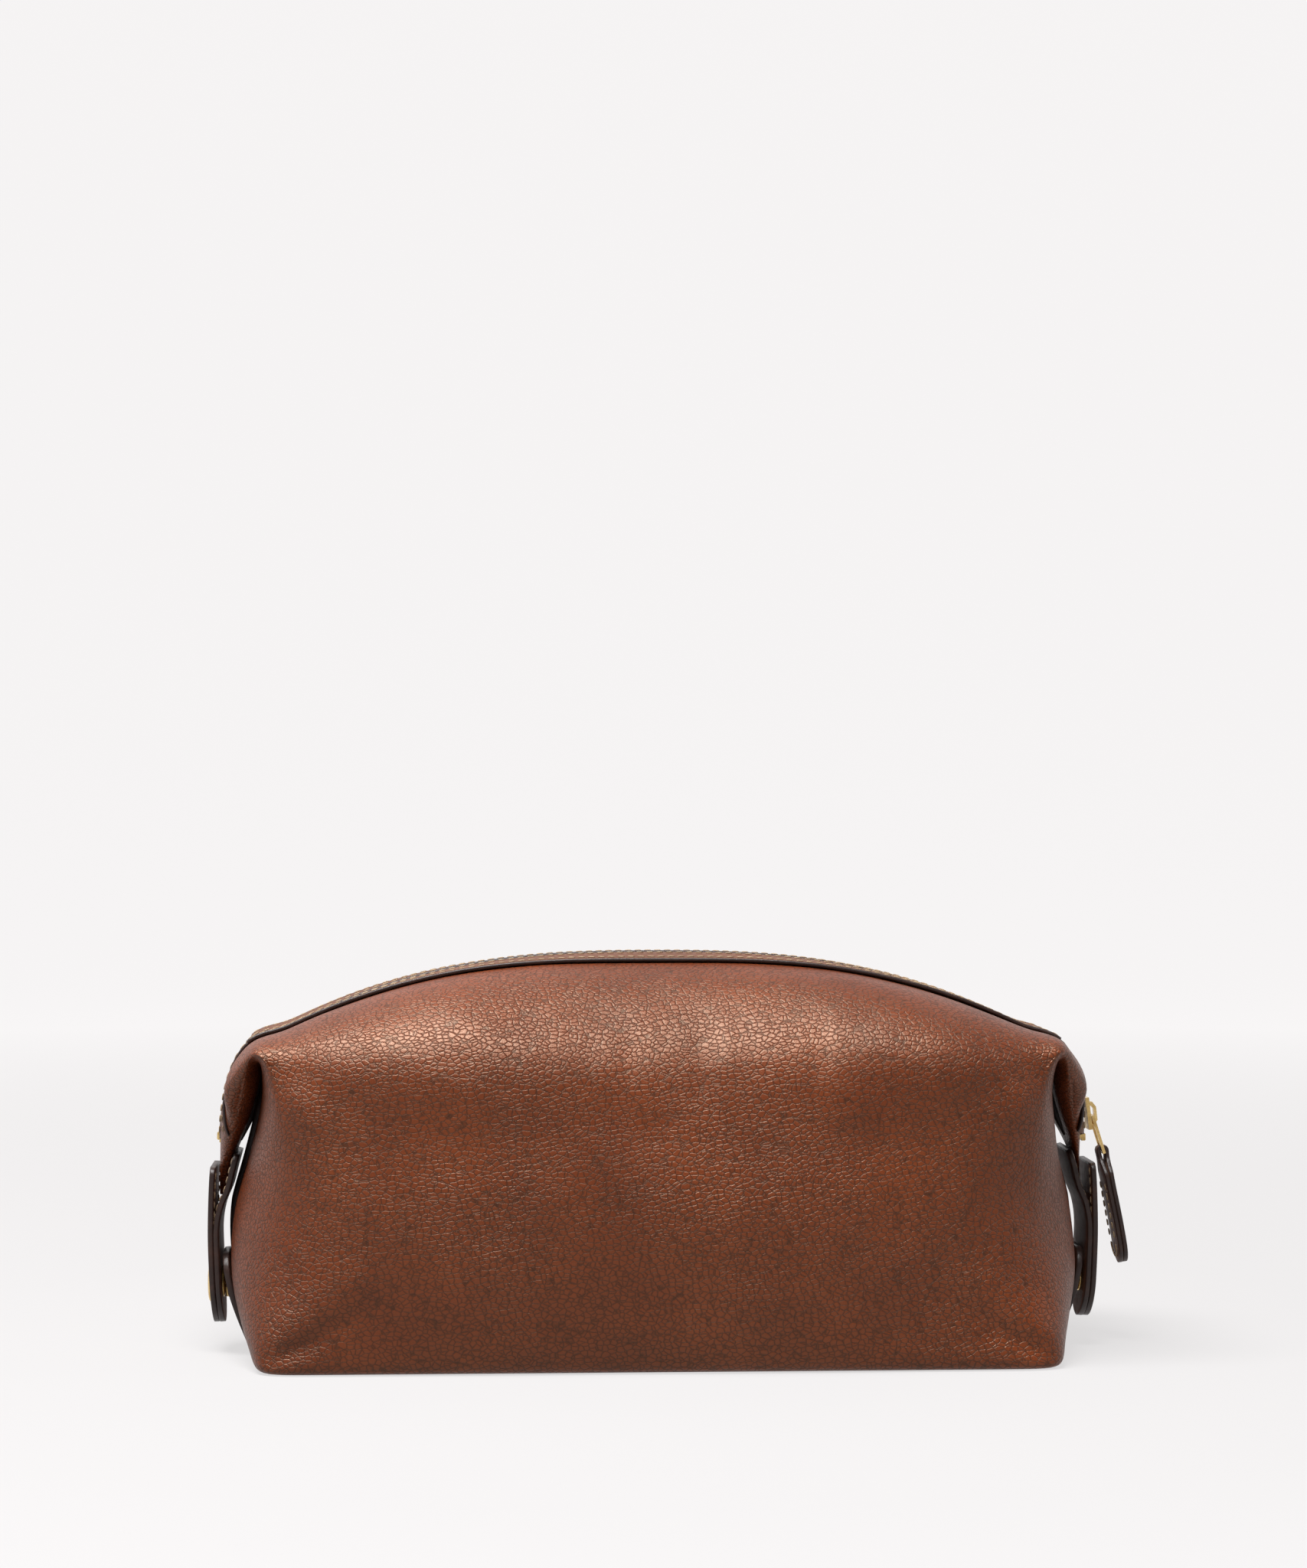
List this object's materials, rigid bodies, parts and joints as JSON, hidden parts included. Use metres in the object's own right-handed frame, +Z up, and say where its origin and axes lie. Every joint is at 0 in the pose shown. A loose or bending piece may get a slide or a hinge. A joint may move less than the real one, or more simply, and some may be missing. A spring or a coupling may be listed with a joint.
{
  "type": "leather shaving kit bag",
  "caption": "Soft leather shaving kit bag with a flat base, an arched zip top and a folded ear, snap strap and tab at each end.",
  "frame": {"origin": "centre of the flat base, on the surface it stands on", "axes": "+X along the bag towards the end with the zip pull, +Y from the front panel to the back panel, +Z up"},
  "size_m": [0.2766, 0.1146, 0.1195],
  "materials": {
    "leather": "tumbled pebble-grain chestnut leather",
    "strip_leather": "smooth chestnut leather with dark painted edges",
    "strap_leather": "smooth harness leather with dark painted edges",
    "painted_edge": "glossy black edge paint over raw leather edges",
    "tape": "woven zip tape",
    "cloth": "cotton lining",
    "brass": "polished brass"
  },
  "bodies": {
    "bag": {"body_leather": "leather", "left_end_seam": "painted_edge", "lining": "cloth", "right_end_seam": "painted_edge", "zip_strip_back": "strip_leather", "zip_strip_front": "strip_leather", "zip_tape_back": "tape", "zip_tape_front": "tape", "zip_teeth_back": "brass", "zip_teeth_front": "brass"},
    "left_ear_body": {"left_ear": "leather", "left_ear_seam": "painted_edge", "left_ear_strip_back": "strip_leather", "left_ear_strip_front": "strip_leather", "left_ear_tape_back": "tape", "left_ear_tape_front": "tape", "left_ear_teeth_back": "brass", "left_ear_teeth_front": "brass", "left_snap_cap": "brass", "left_snap_socket": "brass", "left_strap_inner": "strap_leather", "left_strap_outer": "strap_leather", "left_zip_stop": "brass"},
    "right_ear_body": {"right_ear": "leather", "right_ear_seam": "painted_edge", "right_ear_strip_back": "strip_leather", "right_ear_strip_front": "strip_leather", "right_ear_tape_back": "tape", "right_ear_tape_front": "tape", "right_ear_teeth_back": "brass", "right_ear_teeth_front": "brass", "right_snap_cap": "brass", "right_snap_socket": "brass", "right_strap_inner": "strap_leather", "right_strap_outer": "strap_leather", "right_zip_stop": "brass"},
    "left_tab_body": {"left_snap_stud": "brass", "left_tab": "strap_leather"},
    "right_tab_body": {"right_snap_stud": "brass", "right_tab": "strap_leather"},
    "slider": {"slider_body": "brass"},
    "link": {"pull_link": "brass"},
    "pull": {"leather_pull": "strap_leather"}
  },
  "joints": [
    {"name": "right_ear_fold", "type": "hinge", "parent": "bag", "child": "right_ear_body", "pos_m": [0.1198, 0, 0.0945], "axis": [0, -1, 0], "range_deg": [0, 75]},
    {"name": "left_ear_fold", "type": "hinge", "parent": "bag", "child": "left_ear_body", "pos_m": [-0.1198, 0, 0.0945], "axis": [0, 1, 0], "range_deg": [0, 75]},
    {"name": "right_tab_flex", "type": "hinge", "parent": "bag", "child": "right_tab_body", "pos_m": [0.1188, 0, 0.0022], "axis": [0, 1, 0], "range_deg": [0, 22.6]},
    {"name": "left_tab_flex", "type": "hinge", "parent": "bag", "child": "left_tab_body", "pos_m": [-0.1188, 0, 0.0022], "axis": [0, -1, 0], "range_deg": [0, 22.6]},
    {"name": "zip_slide", "type": "slide", "parent": "right_ear_body", "child": "slider", "axis": [-0.11, 0, 0.9939], "range_m": [0, 0.012]},
    {"name": "link_swing", "type": "hinge", "parent": "slider", "child": "link", "pos_m": [0.13256, 0, 0.06853], "axis": [0, -1, 0], "range_deg": [0, 100]},
    {"name": "pull_swing", "type": "hinge", "parent": "link", "child": "pull", "pos_m": [0.13584, 0, 0.05792], "axis": [0, -1, 0], "range_deg": [0, 60]}
  ],
  "couplings": [
    {"joint": "right_tab_flex", "follows": "right_ear_fold", "ratio": 0.3},
    {"joint": "left_tab_flex", "follows": "left_ear_fold", "ratio": 0.3}
  ]
}
